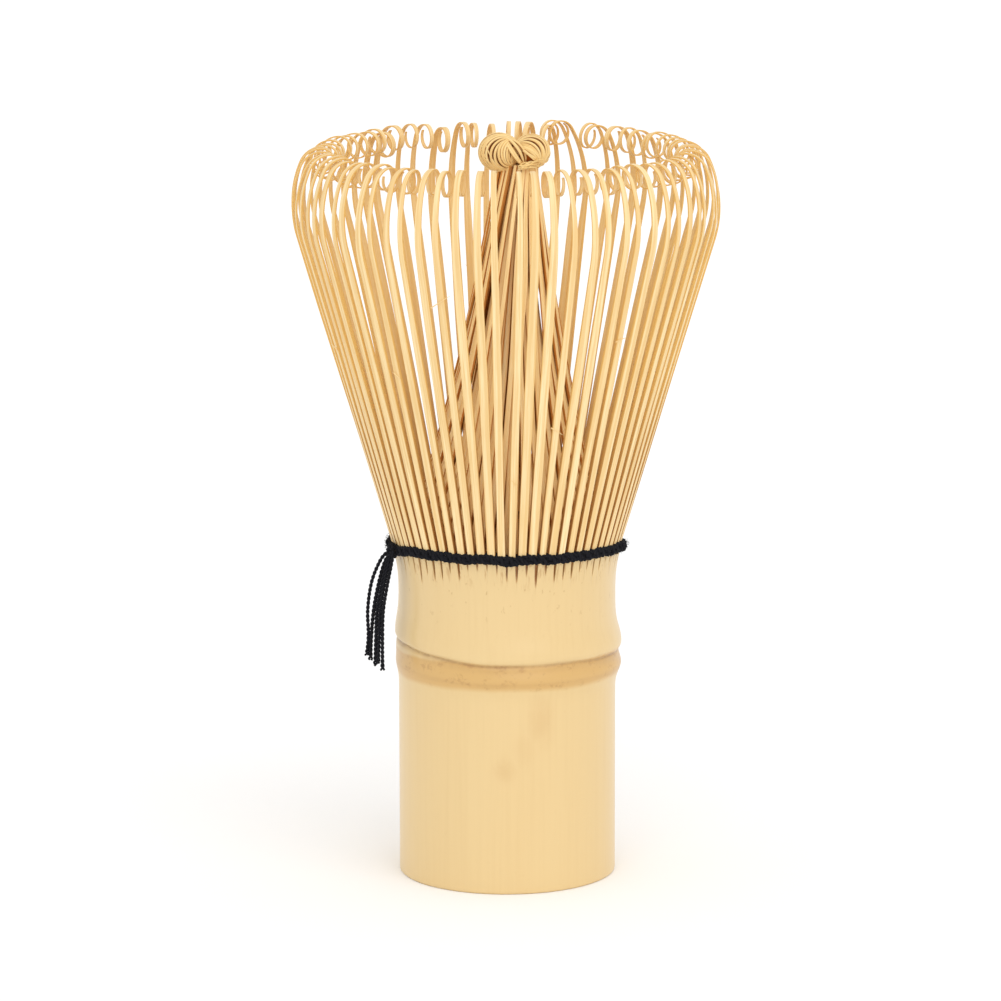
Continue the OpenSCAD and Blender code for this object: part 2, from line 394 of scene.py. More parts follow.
def smooth_path(points, count):
    """count points, evenly spaced along a Catmull-Rom curve through the given ones."""
    p = np.array(points, float)
    p = np.vstack([2 * p[0] - p[1], p, 2 * p[-1] - p[-2]])
    fine = []
    for i in range(1, len(p) - 2):
        for t in np.linspace(0, 1, 24, endpoint=False):
            a, b, c, d = p[i - 1:i + 3]
            square, cube = 2 * a - 5 * b + 4 * c - d, 3 * b - a - 3 * c + d
            fine.append(0.5 * (2 * b + (c - a) * t + square * t * t + cube * t ** 3))
    fine.append(p[-2])
    fine = np.array(fine)
    along = path_lengths(fine)
    wanted = np.linspace(0, along[-1], count)
    return np.stack([np.interp(wanted, along, fine[:, k]) for k in range(3)], 1)


def path_frames(path, outward):
    """Two unit vectors across the path at each point, carried along it without twisting."""
    tangents = units(np.gradient(path, axis=0))
    normals, sides = [], []
    normal = np.asarray(outward, float)
    for t in tangents:
        normal = unit(normal - t * np.dot(normal, t))
        normals.append(normal)
        sides.append(np.cross(t, normal))
    return np.array(normals), np.array(sides)


def path_lengths(path):
    return np.concatenate([[0], np.cumsum(np.linalg.norm(np.diff(path, axis=0), axis=1))])


# A strip's cross-section with bevelled corners: (across, outward, 0 on the skin to 1 on a cut side).
BEVEL = 0.16
BEVEL_UV = 0.1
STRIP = [(-1 + BEVEL, 1, 0), (1 - BEVEL, 1, 0), (1, 1 - BEVEL, 1), (1, -1 + BEVEL, 1),
         (1 - BEVEL, -1, 0), (-1 + BEVEL, -1, 0), (-1, -1 + BEVEL, 1), (-1, 1 - BEVEL, 1)]


def add_strip(shape, path, outward, across, widths, thicknesses, rng, back=0.35, side_painted_shade=0, painted_shade=0):
    """A thin flat strip along a path. outward and across are its unit vectors at each point.

    back is how much its inner face takes the darker cut-side colour, which is partly painted shade. The last
    two arguments lay on brown painted shade: on the sides, and all over.
    """
    corner = np.array(STRIP)
    corner[corner[:, 1] == -1, 2] = back
    half_w = np.asarray(widths)[:, None, None] / 2
    half_t = np.asarray(thicknesses)[:, None, None] / 2
    sections = (path[:, None, :] + across[:, None, :] * corner[None, :, 0:1] * half_w
                + outward[:, None, :] * corner[None, :, 1:2] * half_t)
    start = rng.uniform(0, 400)
    side_start = rng.uniform(0, 50)
    w, t = float(np.mean(widths)), float(np.mean(thicknesses))
    around = side_start + np.cumsum([0] + [w, BEVEL_UV, t, BEVEL_UV] * 2)
    rings = len(path)
    painted_shade = np.broadcast_to(np.asarray(painted_shade, float), rings)[:, None]
    side_painted_shade = np.broadcast_to(np.asarray(side_painted_shade, float), rings)[:, None]
    painted_shade = np.maximum(painted_shade, side_painted_shade * corner[:, 2][None, :])
    shape.add_sweep(sections, start + path_lengths(path), around, rng.random(), corner[:, 2][None, :], painted_shade)


def add_tube(shape, path, radius, rng, sides=8, tone=None, closed=False):
    """A round tube along a path, with one radius or a radius for each point."""
    normals, across = closed_frames(path) if closed else path_frames(path, (0.3, 0.2, 1))
    angles = np.linspace(0, 2 * math.pi, sides, endpoint=False)
    radius = np.broadcast_to(np.asarray(radius, float), len(path))[:, None, None]
    sections = path[:, None, :] + radius * (normals[:, None, :] * np.cos(angles)[None, :, None]
                                            + across[:, None, :] * np.sin(angles)[None, :, None])
    lengths = path_lengths(path)
    if closed:
        lengths = np.append(lengths, lengths[-1] + np.linalg.norm(path[0] - path[-1]))
    around = np.linspace(0, 2 * math.pi * float(radius.mean()), sides + 1)
    start = rng.uniform(0, 300)
    shape.add_sweep(sections, lengths + start, around, rng.random() if tone is None else tone, closed=closed)


def closed_frames(path, way=(0, 0, 1.0)):
    """Frames for a loop: as near as they get to one way, and across to the path."""
    tangents = units(np.roll(path, -1, axis=0) - np.roll(path, 1, axis=0))
    normals = square_to(tangents, np.broadcast_to(way, path.shape))
    return normals, np.cross(tangents, normals)


# ---------------------------------------------------------------- outer tines

thread_low, thread_high = node_box("thread_strand_a")
THREAD_Z = (thread_low[2] + thread_high[2]) / 2
# The tines start just under the middle of the band, and run straight up to the shoulder.
START_DROP = 0.5
TINE_R = 15.89
LEAN = 17.2
SHOULDER_Z = 90.5
CREST_Z = node_box("outer_tines_01")[1][2] + 0.05
BACK_RISE = 0.5
WIDEST_R = cad_high[0] / MM - 0.22

# Above the shoulder a tine turns in three arcs, and then in a curl that grows tighter.
SHOULDER_R = 14
MIDDLE_TURN = 24
NECK_R = 3.3
NECK_TURN = 66
CURL_FIRST_R = (1.68, 1.86)
CURL_LAST_R = (1.42, 1.58)
CURL_TURN = (290, 335)
STRAIGHT_STEPS = 36
CURL_STEPS = 34

# Behind the knot's right side two tines at the back curl sideways, in wide loops.
LOOP_ANGLE, SECOND_LOOP_ANGLE, LOOP_SPREAD = 70, 59, 5

# An outer tine at shares of its length, from the thread to the tip.
TINE_WIDTH = ([0, 0.04, 0.3, 0.62, 0.8, 0.95, 1], [1.06, 1.08, 1.15, 1.04, 0.8, 0.66, 0.42])
TINE_THICKNESS = ([0, 0.1, 0.3, 0.55, 0.7, 1], [0.74, 0.66, 0.5, 0.38, 0.24, 0.17])
# Painted shade on the tines' sides, strongest at the band, where the tines stand close together.
TINE_PAINTED_SHADE = ([0, 0.1, 0.4], [0.9, 0.7, 0])
EXTRA_WIDTH_AT_BACK = ([0, 0.6, 0.8, 1], [0.16, 0.16, -0.1, -0.1])
# Fine slivers standing off some tines: tine number to (height, length across, length upward).
SLIVERS = {50: (85.5, -2.9, 2.0), 61: (79.0, -1.6, 0.7), 57: (67.0, -1.5, -0.8),
           46: (74.0, 0.8, 1.0), 54: (60.0, 0.7, 1.2), 8: (70.0, 1.4, 1.6),
           20: (82.0, -1.2, 1.5), 30: (64.0, 1.1, -0.9), 39: (76.0, 1.3, 0.8)}


def near(angle, centre, width):
    """1 at one direction round the ring, fading to 0 on both sides of it."""
    away = (angle - centre + 180) % 360 - 180
    return math.exp(-(away / width) ** 2)


def band_height(degrees):
    """Height of the middle of the thread's band, which sits lowest at the whisk's left and right."""
    a = math.radians(degrees)
    wander = 0.1 * math.sin(3 * a + 1) + 0.07 * math.sin(8 * a + 2) + 0.06 * math.sin(17 * a)
    step = 0.16 * near(degrees, 286, 9) - 0.2 * near(degrees, 272, 7)
    dip = 1.6 * near(degrees, 14, 28) + 0.9 * near(degrees, 182, 26)
    return THREAD_Z - 0.06 * math.cos(a) + wander + step - dip


def curl_twist(angle):
    """Degrees by which the curls turn out of the radial plane, which change slowly round the ring."""
    slow = 5 * math.sin(math.radians(3 * angle + 40)) + 4 * math.sin(math.radians(7 * angle + 120))
    loops = 38 * near(angle, LOOP_ANGLE, LOOP_SPREAD) + 26 * near(angle, SECOND_LOOP_ANGLE, LOOP_SPREAD)
    front = 14 * near(angle, 292, 9) - 12 * near(angle, 250, 9)
    return slow - loops + front


class TineForm:
    """One outer tine's own shape: everything about it that chance decides."""

    def __init__(self, rng, angle):
        self.angle = angle
        self.lean = LEAN
        self.straight = (SHOULDER_Z - THREAD_Z + START_DROP) / math.cos(math.radians(LEAN))
        self.drift = max(-0.7, min(0.7, rng.gauss(0, 0.32))) + 1.4 * near(angle, 90, 32)
        self.bow = rng.gauss(0, 0.45)
        self.sway = rng.gauss(0, 0.5)
        self.wave = rng.gauss(0, 0.4)
        self.twist = curl_twist(angle) + rng.gauss(0, 3.5)
        self.start_z = band_height(angle) - START_DROP
        self.shoulder = rng.uniform(0.95, 1.05)
        self.middle_turn = MIDDLE_TURN + rng.gauss(0, 1.0)
        self.loop = near(angle, LOOP_ANGLE, LOOP_SPREAD) + 0.6 * near(angle, SECOND_LOOP_ANGLE, LOOP_SPREAD)
        self.neck_r = NECK_R * (1 - 0.4 * self.loop) * rng.uniform(0.92, 1.08)
        self.neck_turn = NECK_TURN + rng.gauss(0, 2.5)
        self.curl_first = rng.uniform(*CURL_FIRST_R)
        self.curl_last = rng.uniform(*CURL_LAST_R)
        self.curl_turn = rng.uniform(*CURL_TURN)
        self.curl_drift = rng.gauss(0, 7)
        self.back = max(0, math.sin(math.radians(angle)))
        self.crest = CREST_Z + BACK_RISE * self.back - abs(rng.gauss(0, 0.3))
        self.widest = WIDEST_R - abs(rng.gauss(0, 0.12))

    def steps(self):
        """(length, bend, sway, twist) of each short step: straight, shoulder, neck, and a tightening curl."""
        in_straight = 0.3 + 0.5 * self.loop
        in_neck = 0.25 - 0.1 * self.loop
        in_curl = 0.35 - 0.35 * self.loop
        steps, count = [], STRAIGHT_STEPS
        for i in range(count):
            share = (i + 0.5) / count
            sway = self.sway * math.cos(math.pi * share) + self.wave * math.cos(3 * math.pi * share)
            steps.append((self.straight / count, self.bow * math.cos(math.pi * share) * 3 / count,
                          sway * 3 / count, self.twist * in_straight * 2 * share / count))
        shoulder_r = SHOULDER_R * self.shoulder
        arcs = ((shoulder_r, self.lean, 5, 0.05), (shoulder_r, self.middle_turn, 8, 0.05),
                (self.neck_r, self.neck_turn, 10, in_neck))
        for radius, turn, parts, twist_share in arcs:
            step = (math.radians(turn) * radius / parts, -turn / parts, 0, self.twist * twist_share / parts)
            steps += [step] * parts
        turning = CURL_STEPS // 3
        for i in range(CURL_STEPS):
            radius = self.curl_first + (self.curl_last - self.curl_first) * (i + 0.5) / CURL_STEPS
            twist = self.twist * in_curl / turning if i < turning else 0
            steps.append((math.radians(self.curl_turn) * radius / CURL_STEPS, -self.curl_turn / CURL_STEPS,
                          self.curl_drift / CURL_STEPS, twist))
        return steps

    def walk(self):
        """The path from the thread to the tip, with its outward and across vectors."""
        radial, up = polar(1, self.angle), np.array([0, 0, 1.0])
        lean = math.radians(self.lean)
        tangent = radial * math.sin(lean) + up * math.cos(lean)
        outward = radial * math.cos(lean) - up * math.sin(lean)
        tangent = turned(tangent, outward, self.drift)
        start = radial * (TINE_R + (self.start_z - THREAD_Z) * math.tan(lean)) + up * self.start_z
        return walk_strip(start, tangent, outward, self.steps())

    def settled_walk(self):
        """The walk whose crest and greatest width come where this tine's should."""
        for _ in range(4):
            path, _, _ = self.walk()
            too_high = path[:, 2].max() - self.crest
            too_wide = np.hypot(path[:, 0], path[:, 1]).max() - self.widest
            self.straight -= too_high / math.cos(math.radians(self.lean))
            self.lean -= math.degrees(too_wide / self.straight)
        return self.walk()


def walk_strip(start, tangent, outward, steps):
    """Follows the steps from a start, and returns the path with its outward and across vectors."""
    across = np.cross(outward, tangent)
    path, outs, sides = [start], [outward], [across]
    for length, bend, sway, twist in steps:
        tangent, outward = turned(tangent, across, -bend), turned(outward, across, -bend)
        tangent, across = turned(tangent, outward, sway), turned(across, outward, sway)
        outward, across = turned(outward, tangent, twist), turned(across, tangent, twist)
        path.append(path[-1] + tangent * length)
        outs.append(outward)
        sides.append(across)
    return np.array(path), np.array(outs), np.array(sides)


def add_outer_tine(shape, index, rng):
    """One tine, and the sliver that stands off it if it has one."""
    form = TineForm(rng, PITCH * (index + 0.5))
    path, outs, sides = form.settled_walk()
    along = path_lengths(path)
    share = along / along[-1]
    plump = rng.uniform(0.87, 1.13)
    broad = 1 + form.back * np.interp(share, *EXTRA_WIDTH_AT_BACK)
    widths = np.interp(share, *TINE_WIDTH) * plump ** (1 + share) * broad
    thick = np.interp(share, *TINE_THICKNESS)
    wobble = 1 + 0.04 * np.sin(along / rng.uniform(3, 6) + rng.uniform(0, 6))
    # Painted shade on the sides low down, between neighbouring tines.
    low_shade = np.interp(share, *TINE_PAINTED_SHADE)
    add_strip(shape, path, outs, sides, widths * wobble, thick, rng, side_painted_shade=low_shade)
    if index in SLIVERS:
        height, across, up = SLIVERS[index]
        i = int(np.argmin(np.abs(path[:len(path) // 2, 2] - height)))
        base = path[i] + outs[i] * thick[i] / 2
        way = sides[i] * across + np.array([0, 0, up])
        points = [base - way * 0.5, base + outs[i] * 0.15, base + way * 0.5 + outs[i] * 0.5]
        line = smooth_path(points, 10)
        add_tube(shape, line, np.linspace(0.09, 0.03, 10), rng, sides=5, tone=0.0)


def make_outer_tines(material):
    rng = random.Random(11)
    for stave in range(1, STAVES + 1):
        shape = Shape()
        for t in range(TINES_PER_STAVE):
            add_outer_tine(shape, (stave - 1) * TINES_PER_STAVE + t, rng)
        made = shape.piece(f"whisk_outer_tines_{stave:02d}", [material], sharp=30)
        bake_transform(made)
        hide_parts(f"outer_tines_{stave:02d}")


# ---------------------------------------------------------------- inner tines

knot_low, knot_high = node_box("tip_knot")
KNOT_X = (knot_low[0] + knot_high[0]) / 2
KNOT_Z = knot_low[2]
INNER_FOOT_R = 13.65
FOOT_DEPTH = 2.6
# Under the knot the tips lie in three layers, turned a little round the whisk from their feet.
LAYERS = 3
FIRST_LAYER_R = 1.0
LAYER_STEP = 0.72
SWIRL = 22
# Each tine of a stave turns by this much more or less than its neighbour, so that a stave's tips gather.
GATHER = 1.2
# The bundle of tips is flatter from front to back than from left to right.
INTO_KNOT = np.array([1.06, 0.62, 1])
BUNDLE_SHIFT = 0.4
TIP_ABOVE_KNOT_FOOT = 1.0
# An inner tine at shares of its length, from the foot to the tip.
INNER_WIDTH = ([0, 0.1, 0.5, 1], [0.9, 0.84, 0.7, 0.5])
INNER_THICKNESS = ([0, 0.1, 0.5, 1], [0.7, 0.5, 0.36, 0.26])
# How much brown painted shade the tines of each layer get towards the tip, from the innermost layer outward:
# the deeper a layer lies, the more shade is painted on it.
LAYER_PAINTED_SHADE = (0.35, 0.15, 0)


def twist_frames(outs, sides, degrees):
    """Turns a path's frames about the path, by so many degrees at each point."""
    ways = units(np.cross(outs, sides))
    return [np.array([turned(*row) for row in zip(rows, ways, degrees)]) for rows in (outs, sides)]


def add_inner_tine(shape, index, rng, bundle):
    """Upright at the thread, then almost straight to its place in the bundle under the knot."""
    angle = PITCH * (index + 1)
    layer = (index + 1) % LAYERS
    tip_radius = FIRST_LAYER_R + LAYER_STEP * layer + rng.gauss(0, 0.06)
    tip_angle = angle + SWIRL + bundle + rng.gauss(0, 2.5)
    tip = polar(tip_radius, tip_angle, KNOT_Z + TIP_ABOVE_KNOT_FOOT) * INTO_KNOT
    tip[0] += KNOT_X + BUNDLE_SHIFT
    foot = polar(INNER_FOOT_R, angle, THREAD_Z - FOOT_DEPTH)
    neck = polar(INNER_FOOT_R - 0.2, angle, THREAD_Z + 1.2)
    points = [foot, neck]
    bulge = rng.gauss(-0.75, 0.28)
    for share in (0.12, 0.3, 0.5, 0.7, 0.88):
        place = neck + (tip - neck) * share
        out = unit(place * np.array([1, 1, 0]))
        side = np.array([-out[1], out[0], 0])
        lift = math.sin(math.pi * share)
        points.append(place + out * bulge * lift + side * lift * rng.gauss(bundle * 0.03, 0.14))
    points.append(tip)
    path = smooth_path(points, 46)
    outs, sides = path_frames(path, polar(1, angle))
    twist = rng.gauss(0, 12)
    share = path_lengths(path) / path_lengths(path)[-1]
    outs, sides = twist_frames(outs, sides, twist * share)
    widths = np.interp(share, *INNER_WIDTH) * rng.uniform(0.86, 1.12)
    thick = np.interp(share, *INNER_THICKNESS)
    # Painted shade: browner towards the tip in the deeper layers, a little brown on the sides, and the inward
    # face in the darker cut-side colour.
    painted_shade = LAYER_PAINTED_SHADE[layer] * np.clip(share * 1.6 - 0.3, 0, 1)
    add_strip(shape, path, outs, sides, widths, thick, rng, back=1.0, side_painted_shade=0.2, painted_shade=painted_shade)


def make_inner_tines(material):
    rng = random.Random(23)
    bundles = [rng.gauss(0, 7) for _ in range(STAVES)]
    for stave in range(1, STAVES + 1):
        shape = Shape()
        for t in range(TINES_PER_STAVE):
            index = (stave - 1) * TINES_PER_STAVE + t
            to_middle = ((TINES_PER_STAVE - 1) / 2 - t) * GATHER
            add_inner_tine(shape, index, rng, bundles[stave - 1] + to_middle)
        made = shape.piece(f"whisk_inner_tines_{stave:02d}", [material], sharp=30)
        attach(made, "handle")
        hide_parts(f"inner_tines_{stave:02d}")


# ---------------------------------------------------------------- the knot of the tips

KNOT_TOP = knot_high[2]
# A lobe: its centre, its radii, and the two ways from its centre in which its strips gather.
LEFT_LOBE = ((KNOT_X - 2.05, 0, KNOT_TOP - 2.86), (2.75, 2.5, 2.5),
             (0.83, -0.2, 0.52), (0.72, -0.3, -0.62))
RIGHT_LOBE = ((KNOT_X + 2.4, 0, KNOT_TOP - 2.8), (2.4, 2.3, 2.2),
              (-0.86, -0.3, 0.36), (0.42, -0.74, -0.58))
OVER_LOBE = ((KNOT_X - 0.1, 0.1, KNOT_TOP - 2.86), (2.3, 2.75, 2.42),
             (-0.5, -0.3, 0.85), (0.62, -0.5, -0.68))
# A lobe's strips: the planes of the first and the last one in degrees, and how many there are.
LEFT_STRIPS = (-125, 125, 42)
RIGHT_STRIPS = (-150, 125, 37)
OVER_STRIPS = (150, 222, 6)
LOOSE_STRIPS = 8
FRAYED_FIBRES = 18
STRIP_THICKNESS = 0.2
CORE_INSET = 0.2


class Lobe:
    """One rounded lobe of the knot, wound with strips that all run between two gathering points."""

    def __init__(self, centre, radii, first, last):
        self.centre, self.radii = np.array(centre), np.array(radii)
        first, last = unit(np.array(first, float)), unit(np.array(last, float))
        self.ends = (first, last)
        self.middle = (first + last) / 2
        self.chord = unit(first - last)
        self.half_chord = np.linalg.norm(first - last) / 2
        self.near_side = unit(self.middle)
        self.front = np.cross(self.near_side, self.chord)

    def arc(self, degrees, points=30):
        """The arc over the lobe in the plane turned by some degrees from straight through its middle."""
        a = math.radians(degrees)
        across = -self.near_side * math.cos(a) + self.front * math.sin(a)
        foot = self.middle - across * np.dot(self.middle, across)
        radius = math.sqrt(max(0.0, 1 - np.dot(foot, foot)))
        start = math.atan2(self.half_chord, np.dot(self.middle, across))
        turn = np.linspace(start, -start, points)
        return foot + radius * (np.cos(turn)[:, None] * across + np.sin(turn)[:, None] * self.chord)


def wind_lobe(shape, lobe, angles, rng, width, lift=0.16, stray=0.09):
    """A strip over the lobe in each plane, raised by up to lift, with ends that stray a little."""
    for degrees in angles:
        shaken = Lobe(lobe.centre, lobe.radii, *([v + rng.gauss(0, stray) for v in end] for end in lobe.ends))
        ball = shaken.arc(degrees + rng.gauss(0, 2))
        share = np.linspace(0, 1, len(ball))
        raised = rng.uniform(-0.08, lift) * np.sin(math.pi * share)
        raised += 0.05 * np.sin(share * rng.uniform(3, 7) + rng.uniform(0, 6))
        line = lobe.centre + ball * (lobe.radii + raised[:, None])
        tangents = units(np.gradient(line, axis=0))
        outward = square_to(tangents, ball / lobe.radii)
        widths = rng.uniform(0.9, 1.12) * width * (0.62 + 0.38 * np.sin(math.pi * share))
        add_reed(shape, line, outward, np.cross(tangents, outward), widths, STRIP_THICKNESS, rng)


REED = [(math.cos(math.radians(a)), math.sin(math.radians(a))) for a in range(0, 360, 45)]


def add_reed(shape, line, outward, across, widths, thickness, rng):
    """A thin strip with rounded sides, with painted shade darkening its edges."""
    corner = np.array(REED)
    half = np.asarray(widths)[:, None, None] / 2
    sections = (line[:, None, :] + across[:, None, :] * corner[None, :, 0:1] * half
                + outward[:, None, :] * corner[None, :, 1:2] * thickness)
    # Painted shade: the edges take the knot's dark side colour, as if shaded by the gaps between strips.
    edge = np.abs(corner[:, 0]) ** 4
    around = rng.uniform(0, 50) + np.linspace(0, 1.2, len(REED) + 1)
    shape.add_sweep(sections, rng.uniform(0, 300) + path_lengths(line), around, rng.random(), edge[None, :])


def add_ball(shape, centre, radii):
    """Painted shade: the inside of a lobe, dark, seen between its strips."""
    corners = 36
    rings = []
    for t in np.linspace(math.radians(176), math.radians(4), 22):
        angles = np.linspace(0, 360, corners, endpoint=False)
        rings.append([polar(math.sin(t), a, math.cos(t)) * radii + centre for a in angles])
    rings = np.array(rings)
    shape.add_sweep(rings, path_lengths(rings[:, 0, :]), np.linspace(0, 10, corners + 1))


def add_loose_strips(shape, lobe, rng):
    """Thin strips wrapped over a lobe, across the others."""
    for _ in range(LOOSE_STRIPS):
        first = (-0.7, -0.3, 0.6 * rng.random())
        last = (rng.uniform(-0.2, 0.4), -0.5, -0.85)
        wrap = Lobe(lobe.centre, lobe.radii + 0.08, first, last)
        wind_lobe(shape, wrap, [rng.uniform(160, 200)], rng, width=0.2, lift=0.1)


def add_frayed_fibres(shape, rng):
    """Fibres that stick out under the right lobe."""
    bottom = np.array([KNOT_X, 0, KNOT_Z + 0.35])
    for _ in range(FRAYED_FIBRES):
        start = bottom + [rng.uniform(0.4, 2.2), rng.uniform(-2.55, -2.1), rng.uniform(0.2, 1.0)]
        stop = start + np.array([rng.uniform(1.2, 2.4), rng.uniform(0.0, 0.6), rng.uniform(0.0, 0.9)])
        bend = (start + stop) / 2 + np.array([0, -0.15, rng.uniform(-0.3, 0.5)])
        line = smooth_path([start, bend, stop], 10)
        add_tube(shape, line, np.linspace(0.12, 0.05, 10), rng, sides=5, tone=0.0)


def make_tip_knot(material, shade):
    """Two wound lobes side by side, strips over the place where they meet, and a dark core of painted shade.
    """
    rng = random.Random(5)
    shape, core = Shape(), Shape()
    left, right, over = Lobe(*LEFT_LOBE), Lobe(*RIGHT_LOBE), Lobe(*OVER_LOBE)
    for lobe in (left, right):
        add_ball(core, lobe.centre, lobe.radii - CORE_INSET)
    wind_lobe(shape, left, np.linspace(*LEFT_STRIPS), rng, width=0.43, stray=0.055)
    wind_lobe(shape, right, np.linspace(*RIGHT_STRIPS), rng, width=0.42, lift=0.12, stray=0.05)
    wind_lobe(shape, over, np.linspace(*OVER_STRIPS), rng, width=0.44, lift=0.12, stray=0.05)
    add_loose_strips(shape, left, rng)
    add_frayed_fibres(shape, rng)
    made = shape.piece("whisk_tip_knot", [material])
    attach(made, "handle")
    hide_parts("tip_knot")
    inside = core.piece("whisk_tip_knot_shade_core", [shade])
    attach(inside, "handle")


# ---------------------------------------------------------------- handle

# The joint has a lower ridge, a crease and an upper ridge; above them the waist flares up to the collar.
LOWER_RIDGE_Z = 30
JOINT_Z = 32.6
UPPER_RIDGE_RISE = 1.0
WAIST_Z = 40.5
BAND_PULL_Z = 42
COLLAR_TOP = THREAD_Z + 0.1
CULM_TOP = node_box("handle_culm")[1][2]
diaphragm_low, diaphragm_high = node_box("joint_diaphragm")
SEAT_Z = diaphragm_low[2]
SEAT_R = diaphragm_high[0]
GRIP_R = 15.2
BORE_R = 11.4
THROAT_R = 13.2
COLLAR_INNER_R = 15.2
BORE_MIDDLE_Z = 15
BOTTOM_EDGE = 0.35
BORE_EDGE = 0.25

# Most of the splits between the tines start between these two heights, and the long ones lower.
SPLIT_START = (43.9, 45.9)
SPLIT_WIDTH = (0.08, 0.2)
LONG_SPLITS = 14
SPLIT_DEPTH = 0.4
HAIRLINE = 0.012
HAIRLINE_DEPTH = 0.03
# A split this deep gets the full dark cut-side colour, which is partly the cut's own colour and partly
# painted shade in the split.
SIDE_DEPTH = 0.35
# Each tine's face has this many columns of faces, and a lip on both sides of it.
FACE_COLUMNS = 7
LIP = 0.05
# The fibre UVs go this far round.
UV_ROUND = 95
# Heights of the outer wall's rings: (from, to, step), close together at the joint and the splits.
RING_SPANS = ((1.5, 26, 1.75), (26.5, 31.5, 0.35), (31.6, 36, 0.14), (36.3, 42, 0.6),
              (42.2, COLLAR_TOP, 0.16))


def bump(away, width):
    """1 where away is 0, fading to 0 on both sides."""
    return math.exp(-(away / width) ** 2)


def crease_height(degrees):
    """The joint's crease climbs at the left and dips a little at the right."""
    c = math.cos(math.radians(degrees))
    wander = 0.06 * math.sin(math.radians(5 * degrees + 30)) + 0.04 * math.sin(math.radians(11 * degrees))
    return JOINT_Z + 1.2 * max(0, -c) ** 2 - 0.45 * max(0, c) ** 3 + wander


def above_lower_ridge(z, degrees):
    """The lower ridge follows the crease, but climbs less."""
    return z - LOWER_RIDGE_Z - 0.35 * (crease_height(degrees) - JOINT_Z)


def handle_radius(z, degrees):
    """Outer radius of the culm: a straight grip, a double ridge with a crease, then a waist."""
    a = math.radians(degrees)
    lower = above_lower_ridge(z, degrees)
    above = z - crease_height(degrees)
    upper = above - UPPER_RIDGE_RISE
    left = max(0, -math.cos(a))
    r = GRIP_R + 0.05 * math.cos(2 * a + 0.5) + 0.03 * math.cos(3 * a)
    r += (0.5 + 0.1 * math.cos(a)) * bump(lower, 1.6 if lower < 0 else 1.2)
    r += (0.5 + 0.35 * max(0, math.cos(a))) * bump(upper, 1.2 if upper < 0 else 2.6)
    r += 0.35 * bump(above + 1.3, 1.3)
    r -= (0.2 + 0.22 * left) * bump(above, 0.28)
    return r + 0.017 * max(0, z - WAIST_Z) ** 2


def crease_painted_shade(z, degrees):
    """Brown painted shade in the joint's crease and under its lower ridge."""
    above = z - crease_height(degrees)
    patchy = 0.75 + 0.25 * math.sin(math.radians(7 * degrees + 50)) * math.sin(math.radians(3 * degrees))
    in_crease = bump(above + 0.03, 0.2) + 0.3 * bump(above + 0.5, 0.6)
    return patchy * (in_crease + 0.32 * bump(above_lower_ridge(z, degrees) + 0.05, 0.28))


def kerf(index, z, tops, wide):
    """Half width and depth of a split at a height, in millimetres."""
    height = z - tops[index]
    run_in = 1.5
    if height <= 0:
        return HAIRLINE, HAIRLINE_DEPTH * max(0, 1 + height / run_in)
    half_width = HAIRLINE + wide[index] * (1 - math.exp(-height / run_in))
    return half_width, HAIRLINE_DEPTH + min(SPLIT_DEPTH, height * 0.24)


def handle_levels():
    """Heights of the outer wall's rings, from the rounded bottom edge to the collar's top."""
    edge = [BOTTOM_EDGE * (1 - math.cos(math.radians(a))) for a in (0, 25, 50, 70, 90)]
    return np.concatenate([edge] + [np.arange(*span) for span in RING_SPANS] + [[COLLAR_TOP]])


def wall_point(z, degrees, depth):
    """A point of the outer wall: sunk where it is split, rounded at the bottom, and following the band."""
    r = handle_radius(z, degrees) - depth
    if z < BOTTOM_EDGE:
        r -= BOTTOM_EDGE - math.sqrt(max(0, BOTTOM_EDGE ** 2 - (BOTTOM_EDGE - z) ** 2))
    pull = max(0, (z - BAND_PULL_Z) / (COLLAR_TOP - BAND_PULL_Z)) ** 1.5
    return polar(r, degrees, z + (band_height(degrees) - THREAD_Z) * pull)


def wall_columns(z, tops, wide):
    """(direction, depth) of each point of one ring, from split to split."""
    degrees = math.degrees(1 / GRIP_R)
    places = []
    for i in range(TINES):
        start, end = PITCH * i, PITCH * (i + 1)
        half_a, depth_a = kerf(i, z, tops, wide)
        half_b, depth_b = kerf((i + 1) % TINES, z, tops, wide)
        first, last = start + (half_a + LIP) * degrees, end - (half_b + LIP) * degrees
        places += [(start, depth_a), (start + half_a * degrees, depth_a)]
        places += [(first + (last - first) * k / FACE_COLUMNS, 0) for k in range(FACE_COLUMNS + 1)]
        places.append((end - half_b * degrees, depth_b))
    return places


def inner_wall(corners):
    """Rings down the inside: the collar, the inner tines' feet, the diaphragm's seat and the bore."""
    profile = [(COLLAR_INNER_R, COLLAR_TOP), (COLLAR_INNER_R - 0.5, CULM_TOP + 0.9),
               (THROAT_R, CULM_TOP + 0.7), (THROAT_R - 0.15, CULM_TOP - 0.3),
               (SEAT_R, CULM_TOP - 4.5), (SEAT_R, SEAT_Z), (BORE_R, SEAT_Z),
               (BORE_R, BORE_MIDDLE_Z), (BORE_R, BORE_EDGE), (BORE_R + BORE_EDGE, 0)]
    angles = np.linspace(0, 360, corners, endpoint=False)
    return np.array([[polar(r, a, z) for a in angles] for r, z in profile])


